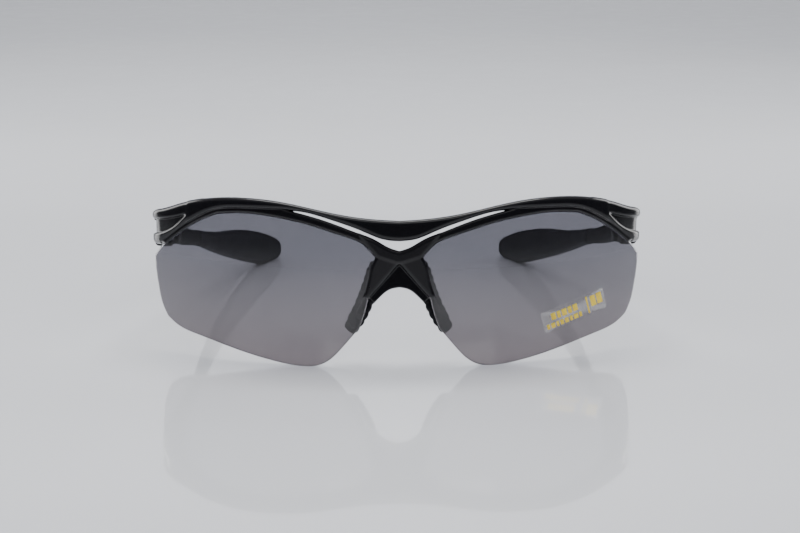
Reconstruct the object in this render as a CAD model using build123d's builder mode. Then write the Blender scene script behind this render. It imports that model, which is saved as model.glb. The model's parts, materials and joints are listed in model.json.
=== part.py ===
"""Half-rim safety glasses with a crossed bridge, slip-on nose pads and folding temples.

Millimetres. +X is the wearer's left, +Y runs back towards the ears and +Z is up. The glasses
stand as they do on a table, on both lens edges and both temple tips. The origin is the top of
the nose arch, on the plane of symmetry.

Every piece is made for the wearer's left, and mirrored across the YZ plane for the right.
"""

from build123d import *
from math import cos, radians, sin, sqrt
import os

# ---- driving dimensions -----------------------------------------------------------------
REST_Z = -26.0  # the table, below the nose arch

# Each lens lies on a pod: a sphere for most of its width, and a cylinder nearer the nose.
LENS_R = 96.0
LENS_T = 2.0
LENS_CENTRE_X = 14.0
LENS_CENTRE_Z = 2.0
LENS_MIDDLE = (40.0, -1.0)
LENS_LEAST_REACH = 20.0  # from the middle to the nearest edge, up or down
GROOVE_GAP = 0.08  # the room around a lens in its groove

# The frame's top and bottom faces fall away behind its front edges by SLANT for each millimetre.
SLANT = 0.27

# How far the frame stands in front of the lens and behind it.
BROW_PROUD = 2.2
RAIL_PROUD = 1.2
FRAME_BACK = 4.2
BRIDGE_FRONT_Y = -0.8
BRIDGE_BACK_Y = 4.6
WEB_T = 2.2
WEB_FOOT_Y = 0.3
WEB_FOOT_Z = -4.6
WEB_LEAN = 0.18
WEB_LAP = 2.0  # how far the web runs up into the middle of the bridge

# The end piece turns back from the brow to the hinge.
END_X = 76.2
END_T = 4.4
END_TOP = 19.4
END_BOTTOM = 10.0
HINGE_TOP = 17.3
HINGE_BOTTOM = 6.3
END_TURN_X = 58.0
END_TURN_Y = 26.0
END_ROOT_T = 7.0
BROW_END_X = 64.5
BUTT_Y = 31.5
BUTT_GAP = 0.2
VALLEY_DEPTH = 1.1
VALLEY_END_Y = 66.0

# The hinge stands upright just inside the end piece.
HINGE_X = 70.2
HINGE_Y = 31.8
KNUCKLE_R = 2.4
KNUCKLE_RELIEF = 0.3
KNUCKLE_GAP = 0.12
LOW_KNUCKLE = (7.0, 9.9)
HIGH_KNUCKLE = (13.4, 16.3)
KNUCKLE_ROOT = 5.4
KNUCKLE_ROOT_INSET = 1.0
SCREW_R = 0.8
SCREW_RUNNING = 0.04
CLOSE_FIT = 0.02
HEAD_R = 1.45
HEAD_T = 0.9
SCREW_FOOT_GAP = 0.1  # how far the shaft stops short of the insert's foot
DRIVE_W = 0.4
DRIVE_DEPTH = 0.4
INSERT_R = 1.5
INSERT_LENGTH = 2.4

# The temples. Each row of a band is a station, the centre there, and the band's thickness.
TEMPLE_FRONT_Y = BUTT_Y + BUTT_GAP
GRIP_START_Y = 69.0
CORE_END_Y = 124.0
TIP_END_Y = 141.0
FOOT_START_Y = 130.0
FOOT_END_Y = 138.0
CORE_GAP = 0.05

# The nose pads run down and outwards behind the legs of the bridge, as blades turned by
# PAD_SPLAY so that they follow the sides of the nose.
PAD_TOP = (6.6, 6.8, 6.6)
PAD_FOOT = (15.0, 7.8, -15.2)
PAD_SPLAY = 38.0
PAD_STATIONS = [  # how far along, how far bowed inwards, width and thickness
    (0.0, 0.0, 4.6, 2.4), (0.15, 0.2, 6.2, 3.0), (0.5, 1.1, 7.4, 3.4),
    (0.82, 0.6, 7.2, 3.4), (1.0, 0.0, 5.6, 2.8),
]
PAD_CORE_R = 1.0
PAD_CORE_TOP = (8.4, 3.2, -0.6)
PAD_CORE_FOOT = (12.6, 7.4, -10.6)

# The clear film label on the wearer's left lens.
LABEL_SIZE = (21.0, 7.2)
LABEL_AT = (54.0, -9.9)
LABEL_TILT = 16.5
LABEL_CORNER = 0.8
LABEL_T = 0.12
LABEL_GAP = 0.01

# The prisms that outlines make run from ahead of the glasses to behind the hinges, from below
# the table to above the brow, and from inside the temples to outside them.
FAR_FRONT_Y = -12.0
FAR_BACK_Y = 60.0
FAR_BELOW_Z = -36.0
FAR_ABOVE_Z = 34.0
FAR_INSIDE_X = 30.0
FAR_OUTSIDE_X = 90.0
PAST = 1.0  # how far a cut runs on past the face it opens

# ---- outlines seen from the front, as x and z -------------------------------------------
BROW_TOP = [
    (0, 21.0), (8, 21.5), (18, 22.9), (27, 24.7), (36, 26.2), (45, 26.7),
    (53, 26.3), (60, 25.1), (67, 22.9), (72, 20.9), (78, END_TOP),
]
BROW_LOW = [
    (73.0, END_BOTTOM), (69.6, 13.3), (66.0, 16.3), (61.3, 19.5), (55.1, 22.5), (47, 23.6), (35, 23.9),
]
RAIL_TOP = [(35, 23.9), (47, 24.3), (58, 22.6), (66, 17.3), (73.6, 10.6)]
RAIL_LOW_OUTER = [(71.4, 9.6), (68.5, 12.3), (65, 15.2), (60.5, 18.3), (54.5, 21.2)]
RAIL_LOW_INNER = [
    (54.5, 21.2), (47, 22.0), (38.5, 21.6), (26.5, 19.4), (17, 16.5), (10, 13.4), (7.0, 10.2),
]
LEG_OUTER = [(7.0, 10.2), (8.3, 7.6), (9.0, 4.4), (9.9, 0.8), (11.0, -2.4)]
LEG_INNER_FOOT = (9.3, -2.9)
LEG_INNER_TOP = (0, 7.9)
SLOT_LOW = [(0, 11.7), (3.2, 12.8), (7, 15.0), (12, 17.1), (20, 20.1), (28, 22.4), (35, 23.9)]
SLOT_HIGH = [(35, 23.9), (28, 23.3), (20, 21.2), (12, 18.4), (8.5, 16.9), (5, 15.6), (0, 15.0)]
ARCH = [(0, 0), (2.8, -0.6), (5.2, -2.3), (7.5, -4.6)]
VALLEY_HIGH = [(65.0, 19.7), (71.0, 17.9), (80, 16.9)]
VALLEY_LOW = [(80, 12.9), (73.5, 13.3), (69.0, 15.4), (65.0, 19.7)]

LENS_TOP = [(5.4, 10.9), (9, 14.6), (16, 17.5), (26, 20.5), (38, 22.8), (47, 23.4), (55.5, 22.5)]
LENS_TOP_OUTER = [(55.5, 22.5), (62.5, 19.0), (67, 15.1), (71.6, 10.2)]
LENS_CORNER = [(73.4, 8.0), (75.3, 5.4)]
LENS_SIDE = [(75.3, 5.4), (75.3, 1.5), (74.6, -5.0), (73.6, -10.5), (72.0, -14.3)]
LENS_FOOT = [
    (72.0, -14.3), (69.0, -16.6), (62.0, -18.8), (50.0, -21.9), (38.0, -24.8),
    (32.0, -25.8), (28.0, REST_Z), (25.0, -25.6), (21.5, -23.8), (17.5, -19.6), (12.0, -12.6),
]
LENS_NOSE = [(12.0, -12.6), (10.2, -7.0), (8.8, -1.0), (7.2, 4.0), (5.8, 8.2), (5.4, 10.9)]

# ---- the temple's outlines, from the side as y and z ---------------------------------------
ARM_TOP = [
    (TEMPLE_FRONT_Y, HINGE_TOP), (36, 15.9), (43, 12.3), (52, 7.5), (62, 3.9), (GRIP_START_Y, 2.0),
]
ARM_LOW = [
    (GRIP_START_Y, -3.2), (62, -1.5), (52, 1.2), (43, 4.3), (36, 5.9), (TEMPLE_FRONT_Y, HINGE_BOTTOM),
]
TIP_TOP = [
    (GRIP_START_Y, 2.2), (78, -0.4), (86, -2.5), (95, -4.7), (104, -6.4), (113, -8.2),
    (125, -11.6), (133, -14.8), (138, -17.4),
]
TIP_END = [(138, -17.4), (140.3, -19.4), (TIP_END_Y, -22.2), (140.3, -24.8), (FOOT_END_Y, REST_Z)]
TIP_LOW = [
    (FOOT_START_Y, REST_Z), (125, -24.2), (119, -21.9), (111, -18.9), (100, -14.7),
    (92, -11.6), (84, -8.4), (76, -5.5), (GRIP_START_Y, -3.4),
]
ARM_VALLEY_HIGH = [(TEMPLE_FRONT_Y - PAST, 14.9), (43, 10.4), (54, 4.9), (VALLEY_END_Y, 1.0)]
ARM_VALLEY_LOW = [(VALLEY_END_Y, 1.0), (54, 3.4), (43, 7.4), (TEMPLE_FRONT_Y - PAST, 10.7)]

# Bands: the temple from above as y, x and thickness, and its core from the side as y, z and height.
ARM_PLAN = [
    (TEMPLE_FRONT_Y, END_X - END_T / 2, END_T), (37, 73.7, 4.2), (48, 71.3, 3.4),
    (60, 68.9, 3.2), (GRIP_START_Y, 67.8, 3.2),
]
TIP_PLAN = [
    (GRIP_START_Y, 67.8, 3.6), (78, 66.6, 4.2), (86, 65.1, 4.6), (95, 62.9, 4.8), (104, 60.6, 4.8),
    (113, 57.8, 4.8), (125, 53.2, 4.8), (133, 49.2, 4.8), (TIP_END_Y, 44.6, 4.4),
]
CORE_PLAN = [
    (GRIP_START_Y - 2, 68.0, 1.8), (78, 66.6, 1.8), (86, 65.1, 1.8), (95, 62.9, 1.8),
    (104, 60.6, 1.8), (113, 57.8, 1.6), (CORE_END_Y, 53.6, 1.4),
]
CORE_SIDE = [
    (GRIP_START_Y - 2, -0.4, 3.0), (78, -3.3, 3.4), (86, -5.9, 4.0), (97, -9.3, 4.6),
    (108, -12.6, 5.0), (CORE_END_Y, -17.4, 4.0),
]


# ---- shared shapes ----------------------------------------------------------------------
def pod(radius):
    """The solid whose front is the lens surface when radius is LENS_R, for x from 0 outwards."""
    with BuildPart() as solid:
        with BuildSketch(Plane.XY.offset(LENS_CENTRE_Z)):
            with BuildLine():
                Polyline((LENS_CENTRE_X + radius, LENS_R), (0, LENS_R), (0, LENS_R - radius),
                         (LENS_CENTRE_X, LENS_R - radius))
                RadiusArc((LENS_CENTRE_X, LENS_R - radius), (LENS_CENTRE_X + radius, LENS_R), -radius)
            make_face()
        revolve(axis=Axis((0, LENS_R, LENS_CENTRE_Z), (1, 0, 0)))
    return solid.part


def lens_front_y(x, z, proud=0.0):
    """The y of the lens's front surface at x and z, or of a surface that stands proud of it."""
    beyond = max(x - LENS_CENTRE_X, 0)
    reach = (LENS_R + proud) ** 2 - beyond ** 2 - (z - LENS_CENTRE_Z) ** 2
    return LENS_R - sqrt(reach)


def shell(front, back):
    """The shell from front ahead of the lens surface to back behind it."""
    with BuildPart() as solid:
        add(pod(LENS_R + front))
        add(pod(LENS_R - back), mode=Mode.SUBTRACT)
    return solid.part


def pushed_back(draw, slant=0.0, front=FAR_FRONT_Y, back=FAR_BACK_Y):
    """The prism of the front outline that draw adds, run back, and down by slant for each millimetre."""
    with BuildPart() as prism:
        with BuildSketch(Plane.XZ.offset(-front)):
            with BuildLine():
                draw()
            make_face()
        extrude(amount=(back - front) * sqrt(1 + slant ** 2), dir=(0, 1, -slant))
    return prism.part


def draw_band(rows, grow=0, turned=False):
    """The outline of a band of rows. turned draws it as y and centre rather than centre and y."""
    high = [(centre + thick / 2 + grow, y) for y, centre, thick in rows]
    low = [(centre - thick / 2 - grow, y) for y, centre, thick in reversed(rows)]
    if turned:
        high = [(y, centre) for centre, y in high]
        low = [(y, centre) for centre, y in low]
    Spline(*high)
    Line(high[-1], low[0])
    Spline(*low)
    Line(low[-1], high[0])


def plan_prism(rows, grow=0):
    """A band seen from above, made into an upright prism through the whole height."""
    with BuildPart() as prism:
        with BuildSketch(Plane.XY.offset(FAR_BELOW_Z)):
            with BuildLine():
                draw_band(rows, grow)
            make_face()
        extrude(amount=FAR_ABOVE_Z - FAR_BELOW_Z)
    return prism.part


def side_prism(draw):
    """The prism, across the wearer's left side, of the side outline that draw adds."""
    with BuildPart() as prism:
        with BuildSketch(Plane.YZ.offset(FAR_INSIDE_X)):
            with BuildLine():
                draw()
            make_face()
        extrude(amount=FAR_OUTSIDE_X - FAR_INSIDE_X)
    return prism.part


def upright_rod(radius, low, high):
    """A rod on the hinge axis."""
    with BuildPart() as rod:
        with BuildSketch(Plane.XY.offset(low)):
            with Locations((HINGE_X, HINGE_Y)):
                Circle(radius)
        extrude(amount=high - low)
    return rod.part


def mirrored(part, label):
    """The other side's copy of a part, across the plane of symmetry."""
    copy = mirror(part, about=Plane.YZ)
    copy.label = label
    return copy


# ---- lenses -----------------------------------------------------------------------------
def lens_blank(gap):
    """A lens grown by gap on every side: 0 for the lens itself, more to cut its groove."""
    middle_x, middle_z = LENS_MIDDLE
    grown = 1 + gap / LENS_LEAST_REACH

    def around(points):
        return [(middle_x + (x - middle_x) * grown, middle_z + (z - middle_z) * grown) for x, z in points]

    def draw_lens():
        Spline(*around(LENS_TOP))
        Spline(*around(LENS_TOP_OUTER))
        Polyline(*around([LENS_TOP_OUTER[-1], *LENS_CORNER]))
        Spline(*around(LENS_SIDE))
        Spline(*around(LENS_FOOT))
        Spline(*around(LENS_NOSE))

    with BuildPart() as blank:
        add(pushed_back(draw_lens))
        add(shell(gap, LENS_T + gap), mode=Mode.INTERSECT)
    return blank.part


lens_left = lens_blank(0)
lens_left.label = "lens_left"
lens_right = mirrored(lens_left, "lens_right")


# ---- front frame ------------------------------------------------------------------------
def slanted(points, proud):
    """Where points on a proud surface lie on the plane that slanted prisms start from."""
    return [(x, z + SLANT * (lens_front_y(x, z, proud) - FAR_FRONT_Y)) for x, z in points]


def draw_brow():
    """The brow bar from the slot up, with the whole end piece."""
    top, low, slot = (slanted(points, BROW_PROUD) for points in (BROW_TOP, BROW_LOW, SLOT_HIGH))
    Spline(*top)
    Polyline(top[-1], (top[-1][0], low[0][1]), low[0])
    Spline(*low)
    Spline(*slot)
    Line(slot[-1], top[0])


def draw_rail():
    """The lower rail that holds the lens, from the crossed bridge to the end piece."""
    slot, top, low_outer, low_inner, middle = (
        slanted(points, RAIL_PROUD)
        for points in (SLOT_LOW, RAIL_TOP, RAIL_LOW_OUTER, RAIL_LOW_INNER, [LEG_INNER_TOP])
    )
    Line(middle[0], slot[0])
    Spline(*slot)
    Spline(*top)
    Polyline(top[-1], (top[-1][0], low_outer[0][1]), low_outer[0])
    Spline(*low_outer)
    Spline(*low_inner)
    Line(low_inner[-1], middle[0])


def draw_leg():
    """The middle of the bridge and the leg that runs down beside the nose."""
    Polyline(LEG_INNER_TOP, SLOT_LOW[0], SLOT_LOW[1], SLOT_LOW[2], RAIL_LOW_INNER[-2], RAIL_LOW_INNER[-1])
    Spline(*LEG_OUTER)
    Polyline(LEG_OUTER[-1], LEG_INNER_FOOT, LEG_INNER_TOP)


def draw_web():
    """The thin web between the legs, with the nose arch as its lower edge."""
    Spline(*ARCH, tangents=[(1, 0), (0.65, -0.75)])
    head = (0, LEG_INNER_TOP[1] + WEB_LAP)
    Polyline(ARCH[-1], LEG_INNER_FOOT, LEG_OUTER[-2], LEG_OUTER[1], head, ARCH[0])


def bridge_leg(gap=0.0):
    """The leg as a solid, longer behind by gap."""
    return pushed_back(draw_leg, SLANT, BRIDGE_FRONT_Y, BRIDGE_BACK_Y + gap)


def bridge_web(gap=0.0):
    """The web as a solid that leans back from its foot, thicker behind by gap."""
    head_z = SLOT_LOW[0][1]
    head_y = WEB_FOOT_Y + WEB_LEAN * (head_z - WEB_FOOT_Z)
    thick = WEB_T + gap
    with BuildPart() as web:
        add(pushed_back(draw_web))
        with BuildSketch(Plane.YZ):
            with BuildLine():
                Polyline((WEB_FOOT_Y, WEB_FOOT_Z), (WEB_FOOT_Y + thick, WEB_FOOT_Z),
                         (head_y + thick, head_z), (head_y, head_z), close=True)
            make_face()
        extrude(amount=LEG_OUTER[-1][0], mode=Mode.INTERSECT)
    return web.part


def draw_valley():
    """The valley between the end piece's two ridges."""
    high, low = slanted(VALLEY_HIGH, BROW_PROUD), slanted(VALLEY_LOW, BROW_PROUD)
    Spline(*high)
    Line(high[-1], low[0])
    Spline(*low)


def end_block(inset):
    """The end piece as a block of the brow's curve turned back to the hinge, inset at its outside."""
    start_y = lens_front_y(END_TURN_X, END_BOTTOM, BROW_PROUD)
    slope = (LENS_R - start_y, END_TURN_X - LENS_CENTRE_X)
    inner_x = END_X - END_T
    with BuildPart() as block:
        with BuildSketch(Plane.XY.offset(FAR_BELOW_Z)):
            with BuildLine():
                Spline((END_TURN_X, start_y + inset), (END_X - inset, END_TURN_Y), tangents=[slope, (0, 1)])
                Polyline((END_X - inset, END_TURN_Y), (END_X - inset, BUTT_Y), (inner_x, BUTT_Y),
                         (inner_x, END_TURN_Y))
                Spline((inner_x, END_TURN_Y), (END_TURN_X, start_y + END_ROOT_T),
                       tangents=[(0, -1), (-slope[0], -slope[1])])
                Line((END_TURN_X, start_y + END_ROOT_T), (END_TURN_X, start_y + inset))
            make_face()
        extrude(amount=FAR_ABOVE_Z - FAR_BELOW_Z)
        add(pod(LENS_R + BROW_PROUD - inset), mode=Mode.INTERSECT)
    return block.part


def knuckle(levels, back):
    """One hinge knuckle between two levels, with its root running forwards, or back."""
    low, high = levels
    root_y = KNUCKLE_ROOT if back else -KNUCKLE_ROOT
    with BuildPart() as lug:
        with BuildSketch(Plane.XY.offset(low)):
            with Locations((HINGE_X, HINGE_Y)):
                Circle(KNUCKLE_R)
            with Locations((HINGE_X + KNUCKLE_ROOT_INSET, HINGE_Y + root_y / 2)):
                Rectangle(2 * (KNUCKLE_R - KNUCKLE_ROOT_INSET), KNUCKLE_ROOT)
        extrude(amount=high - low)
    return lug.part


MIDDLE_KNUCKLE = (LOW_KNUCKLE[1] + KNUCKLE_GAP, HIGH_KNUCKLE[0] - KNUCKLE_GAP)
RELIEF_R = KNUCKLE_R + KNUCKLE_RELIEF

with BuildPart() as valley:
    add(pushed_back(draw_valley, SLANT))
    add(end_block(VALLEY_DEPTH), mode=Mode.SUBTRACT)

with BuildPart() as end_piece:
    add(pushed_back(draw_brow, SLANT))
    add(end_block(0), mode=Mode.INTERSECT)
    add(valley.part, mode=Mode.SUBTRACT)

with BuildPart() as brow:
    add(pushed_back(draw_brow, SLANT))
    add(shell(BROW_PROUD, FRAME_BACK), mode=Mode.INTERSECT)
    split(bisect_by=Plane.YZ.offset(BROW_END_X), keep=Keep.BOTTOM)

with BuildPart() as rail:
    add(pushed_back(draw_rail, SLANT))
    add(shell(RAIL_PROUD, FRAME_BACK), mode=Mode.INTERSECT)

with BuildPart() as pad_core:
    core_line = Vector(PAD_CORE_FOOT) - Vector(PAD_CORE_TOP)
    with BuildSketch(Plane(origin=PAD_CORE_TOP, z_dir=core_line)):
        Circle(PAD_CORE_R)
    extrude(amount=core_line.length)

with BuildPart() as half_front:
    add(brow.part)
    add(rail.part)
    add(end_piece.part)
    add(bridge_leg())
    add(bridge_web())
    add(lens_blank(GROOVE_GAP), mode=Mode.SUBTRACT)
    add(pad_core.part)
    add(upright_rod(RELIEF_R, LOW_KNUCKLE[1], HIGH_KNUCKLE[0]), mode=Mode.SUBTRACT)
    add(knuckle(LOW_KNUCKLE, back=False))
    add(knuckle(HIGH_KNUCKLE, back=False))
    hole_foot, hole_top = LOW_KNUCKLE[0] - PAST, HIGH_KNUCKLE[1] + PAST
    add(upright_rod(SCREW_R + CLOSE_FIT, hole_foot, hole_top), mode=Mode.SUBTRACT)
    add(upright_rod(HEAD_R + CLOSE_FIT, HIGH_KNUCKLE[1] - HEAD_T, hole_top), mode=Mode.SUBTRACT)
    insert_top = LOW_KNUCKLE[0] + INSERT_LENGTH
    add(upright_rod(INSERT_R + CLOSE_FIT, hole_foot, insert_top), mode=Mode.SUBTRACT)

with BuildPart() as front_frame:
    add(half_front.part)
    mirror(about=Plane.YZ)
front_frame.part.label = "front_frame"

# ---- hinge screw and its threaded insert ------------------------------------------------
with BuildPart() as hinge_screw_left:
    screw_foot, screw_top = LOW_KNUCKLE[0] + SCREW_FOOT_GAP, HIGH_KNUCKLE[1]
    head_low = screw_top - HEAD_T + CLOSE_FIT
    with BuildSketch(Plane.XZ.offset(-HINGE_Y)):
        with BuildLine():
            Polyline((HINGE_X, screw_foot), (HINGE_X + SCREW_R, screw_foot), (HINGE_X + SCREW_R, head_low),
                     (HINGE_X + HEAD_R, head_low), (HINGE_X + HEAD_R, screw_top), (HINGE_X, screw_top),
                     close=True)
        make_face()
    revolve(axis=Axis((HINGE_X, HINGE_Y, 0), (0, 0, 1)))
    with BuildSketch(Plane.XY.offset(HIGH_KNUCKLE[1])):
        with Locations((HINGE_X, HINGE_Y)):
            Rectangle(2 * (HEAD_R + PAST), DRIVE_W)
    extrude(amount=-DRIVE_DEPTH, mode=Mode.SUBTRACT)
hinge_screw_left.part.label = "hinge_screw_left"

with BuildPart() as hinge_insert_left:
    add(upright_rod(INSERT_R, LOW_KNUCKLE[0], LOW_KNUCKLE[0] + INSERT_LENGTH))
    add(upright_rod(SCREW_R + CLOSE_FIT, LOW_KNUCKLE[0] - PAST, LOW_KNUCKLE[1] + PAST), mode=Mode.SUBTRACT)
hinge_insert_left.part.label = "hinge_insert_left"


# ---- nose pads --------------------------------------------------------------------------
def pad_plane(along, bow):
    """The blade's plane a part of the way along from top to foot, bowed inwards."""
    line = Vector(PAD_FOOT) - Vector(PAD_TOP)
    splayed = Vector(sin(radians(PAD_SPLAY)), cos(radians(PAD_SPLAY)), 0)
    across = line.cross(splayed).cross(line)
    return Plane(origin=Vector(PAD_TOP) + line * along - Vector(bow, 0, 0), x_dir=across, z_dir=line)


with BuildPart() as nose_pad_left:
    for along, bow, width, thick in PAD_STATIONS:
        with BuildSketch(pad_plane(along, bow)):
            Ellipse(width / 2, thick / 2)
    loft()
    add(bridge_leg(CORE_GAP), mode=Mode.SUBTRACT)
    add(bridge_web(CORE_GAP), mode=Mode.SUBTRACT)
    add(lens_blank(GROOVE_GAP), mode=Mode.SUBTRACT)
    with BuildSketch(Plane(origin=PAD_CORE_TOP, z_dir=core_line)):
        Circle(PAD_CORE_R + CORE_GAP)
    extrude(amount=core_line.length + CORE_GAP, mode=Mode.SUBTRACT)
nose_pad_left.part.label = "nose_pad_left"


# ---- temples ----------------------------------------------------------------------------
def draw_arm():
    Spline(*ARM_TOP)
    Line(ARM_TOP[-1], ARM_LOW[0])
    Spline(*ARM_LOW)
    Line(ARM_LOW[-1], ARM_TOP[0])


def draw_core(grow=0):
    draw_band(CORE_SIDE, grow, turned=True)


def draw_arm_valley():
    Spline(*ARM_VALLEY_HIGH)
    Spline(*ARM_VALLEY_LOW)
    Line(ARM_VALLEY_LOW[-1], ARM_VALLEY_HIGH[0])


def draw_tip():
    Spline(*TIP_TOP)
    Spline(*TIP_END)
    Line(TIP_END[-1], TIP_LOW[0])
    Spline(*TIP_LOW)
    Line(TIP_LOW[-1], TIP_TOP[0])


def core_solid(grow):
    """The arm's tongue inside its soft tip, grown by grow to make the cavity for it."""
    with BuildPart() as solid:
        add(side_prism(lambda: draw_core(grow)))
        add(plan_prism(CORE_PLAN, grow), mode=Mode.INTERSECT)
    return solid.part


def valley_floor():
    """The arm from above with its outer face taken in by the valley's depth, fading to nothing."""
    rows = []
    for y, centre, thick in ARM_PLAN:
        depth = VALLEY_DEPTH * max(0, 1 - (y - TEMPLE_FRONT_Y) / (VALLEY_END_Y - TEMPLE_FRONT_Y))
        rows.append((y, centre - depth / 2, thick - depth))
    return rows


with BuildPart() as arm_valley:
    add(side_prism(draw_arm_valley))
    add(plan_prism(valley_floor()), mode=Mode.SUBTRACT)
    split(bisect_by=Plane.YZ.offset(HINGE_X - 3), keep=Keep.TOP)

with BuildPart() as temple_left:
    add(side_prism(draw_arm))
    add(plan_prism(ARM_PLAN), mode=Mode.INTERSECT)
    add(core_solid(0))
    add(arm_valley.part, mode=Mode.SUBTRACT)
    add(upright_rod(RELIEF_R, HINGE_BOTTOM - PAST, MIDDLE_KNUCKLE[0]), mode=Mode.SUBTRACT)
    add(upright_rod(RELIEF_R, MIDDLE_KNUCKLE[1], HINGE_TOP + PAST), mode=Mode.SUBTRACT)
    add(knuckle(MIDDLE_KNUCKLE, back=True))
    add(upright_rod(SCREW_R + SCREW_RUNNING, HINGE_BOTTOM, HINGE_TOP), mode=Mode.SUBTRACT)
temple_left.part.label = "temple_left"

with BuildPart() as temple_tip_left:
    add(side_prism(draw_tip))
    add(plan_prism(TIP_PLAN), mode=Mode.INTERSECT)
    add(core_solid(CORE_GAP), mode=Mode.SUBTRACT)
temple_tip_left.part.label = "temple_tip_left"

# ---- label ------------------------------------------------------------------------------
with BuildPart() as lens_label:
    with BuildSketch(Plane.XZ.offset(-FAR_FRONT_Y)):
        with Locations(Location((*LABEL_AT, 0), (0, 0, LABEL_TILT))):
            RectangleRounded(*LABEL_SIZE, LABEL_CORNER)
    extrude(amount=FAR_FRONT_Y - FAR_BACK_Y)
    add(shell(LABEL_GAP + LABEL_T, -LABEL_GAP), mode=Mode.INTERSECT)
lens_label.part.label = "lens_label"

# ---- the right side, and every piece's file ---------------------------------------------
PIECES = [
    front_frame.part,
    lens_left,
    lens_right,
    lens_label.part,
    nose_pad_left.part,
    mirrored(nose_pad_left.part, "nose_pad_right"),
    hinge_screw_left.part,
    mirrored(hinge_screw_left.part, "hinge_screw_right"),
    hinge_insert_left.part,
    mirrored(hinge_insert_left.part, "hinge_insert_right"),
    temple_left.part,
    mirrored(temple_left.part, "temple_right"),
    temple_tip_left.part,
    mirrored(temple_tip_left.part, "temple_tip_right"),
]
os.makedirs("parts", exist_ok=True)
for piece in PIECES:
    export_step(piece, f"parts/{piece.label}.step")
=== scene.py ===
"""Looks for half-rim safety glasses with a crossed bridge, slip-on nose pads and folding temples.

Every moulding is a distance field: outlines and curved shells, met and joined with rounded edges,
and meshed where the field is zero. Lengths are millimetres until a mesh is made, in the frame's
own axes: +X is the wearer's left, +Y runs back towards the ears, and the origin is the top of the
nose arch. Everything is made for the wearer's left, and mirrored for the right.
"""

import json
import math

import bpy
import numpy as np
from mathutils import Euler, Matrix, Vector


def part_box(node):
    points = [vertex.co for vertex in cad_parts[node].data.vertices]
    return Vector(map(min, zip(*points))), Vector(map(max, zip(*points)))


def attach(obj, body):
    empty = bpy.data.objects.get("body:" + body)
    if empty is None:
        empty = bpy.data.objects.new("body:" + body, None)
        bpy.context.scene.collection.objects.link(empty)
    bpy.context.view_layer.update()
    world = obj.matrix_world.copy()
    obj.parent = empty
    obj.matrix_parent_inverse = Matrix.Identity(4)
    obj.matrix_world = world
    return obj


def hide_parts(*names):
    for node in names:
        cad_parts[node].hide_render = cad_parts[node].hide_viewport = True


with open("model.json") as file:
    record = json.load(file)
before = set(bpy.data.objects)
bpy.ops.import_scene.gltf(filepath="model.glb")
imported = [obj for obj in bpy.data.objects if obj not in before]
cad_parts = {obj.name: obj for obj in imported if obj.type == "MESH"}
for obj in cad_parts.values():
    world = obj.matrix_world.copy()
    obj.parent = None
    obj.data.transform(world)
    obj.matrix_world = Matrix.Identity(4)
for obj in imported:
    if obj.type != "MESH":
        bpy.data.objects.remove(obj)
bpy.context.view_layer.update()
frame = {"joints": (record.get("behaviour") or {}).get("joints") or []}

MM = 0.001
FINE = 0.22  # the mesh cell of the mouldings

# ---- sizes shared with the CAD ----------------------------------------------------------
REST_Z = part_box("lens_left")[0].z / MM
LENS_R = 96.0
LENS_T = 2.0
LENS_CENTRE_X = 14.0
LENS_CENTRE_Z = 2.0
LEAST_REACH = 60.0
GROOVE_GAP = 0.08
BROW_PROUD = 2.2
RAIL_PROUD = 1.2
FRAME_BACK = 4.2
SLANT = 0.27  # how much the frame's top and bottom faces fall for each millimetre back
BRIDGE_Y = (-0.8, 4.6)
WEB_FOOT = (0.3, -4.6)
WEB_T = 2.2
WEB_LEAN = 0.18
WEB_LAP = 2.0  # how far the web runs up into the middle of the bridge
END_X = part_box("front_frame")[1].x / MM
END_T = 4.4
END_TOP = 19.4
END_BOTTOM = 10.0
HINGE_LEVELS = (6.3, 17.3)
END_TURN = (58.0, 26.0)
BROW_END_X = 64.5
END_ROOT_T = 7.0
BUTT_Y = 31.5
TEMPLE_FRONT_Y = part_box("temple_left")[0].y / MM
VALLEY_DEPTH = 1.1
VALLEY_END_Y = 66.0
PAST = 4.0  # how far a profile runs on past the face that a cut makes
ABOVE_HINGE_Z = 30.0
HINGE_X, HINGE_Y = (frame["joints"][0]["pos_m"][axis] / MM for axis in (0, 1))
KNUCKLE_R = 2.4
RELIEF_R = 2.7
KNUCKLE_ROOT = 5.4
LOW_KNUCKLE = (7.0, 9.9)
MIDDLE_KNUCKLE = (10.02, 13.28)
HIGH_KNUCKLE = (13.4, 16.3)
SCREW_R = 0.8
HEAD_R = 1.45
HEAD_T = 0.9
CLOSE_FIT = 0.02
SCREW_RUNNING = 0.04
SCREW_FOOT_GAP = 0.1  # how far the shaft stops short of the insert's foot
DRIVE_W = 0.4
DRIVE_DEPTH = 0.45
INSERT_R = 1.5
INSERT_LENGTH = 2.4
GRIP_START_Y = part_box("temple_tip_left")[0].y / MM
TIP_END_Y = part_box("temple_tip_left")[1].y / MM
FOOT_Y = (130.0, 138.0)
PAD_TOP = np.array([6.6, 6.8, 6.6])
PAD_FOOT = np.array([15.0, 7.8, -15.2])
PAD_SPLAY = 38.0
PAD_CORE = (np.array([8.4, 3.2, -0.6]), np.array([12.6, 7.4, -10.6]), 1.0)
PAD_BOW = ([0.0, 0.15, 0.32, 0.5, 0.66, 0.82, 1.0], [0.0, 0.2, 0.75, 1.1, 1.05, 0.6, 0.0])
PAD_STATIONS = [0.0, 0.15, 0.5, 0.82, 1.0]
PAD_HALF_WIDTHS = [2.3, 3.1, 3.7, 3.6, 2.8]
PAD_HALF_THICKS = [1.2, 1.5, 1.7, 1.7, 1.4]
RIBS = 9
RIB_HEIGHT = 0.6
LABEL_AT = (54.0, -9.9)
LABEL_SIZE = (21.0, 7.2)
LABEL_TILT = 16.5
LABEL_T = 0.12
LABEL_GAP = 0.01
LABEL_CORNER = 0.8

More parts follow.
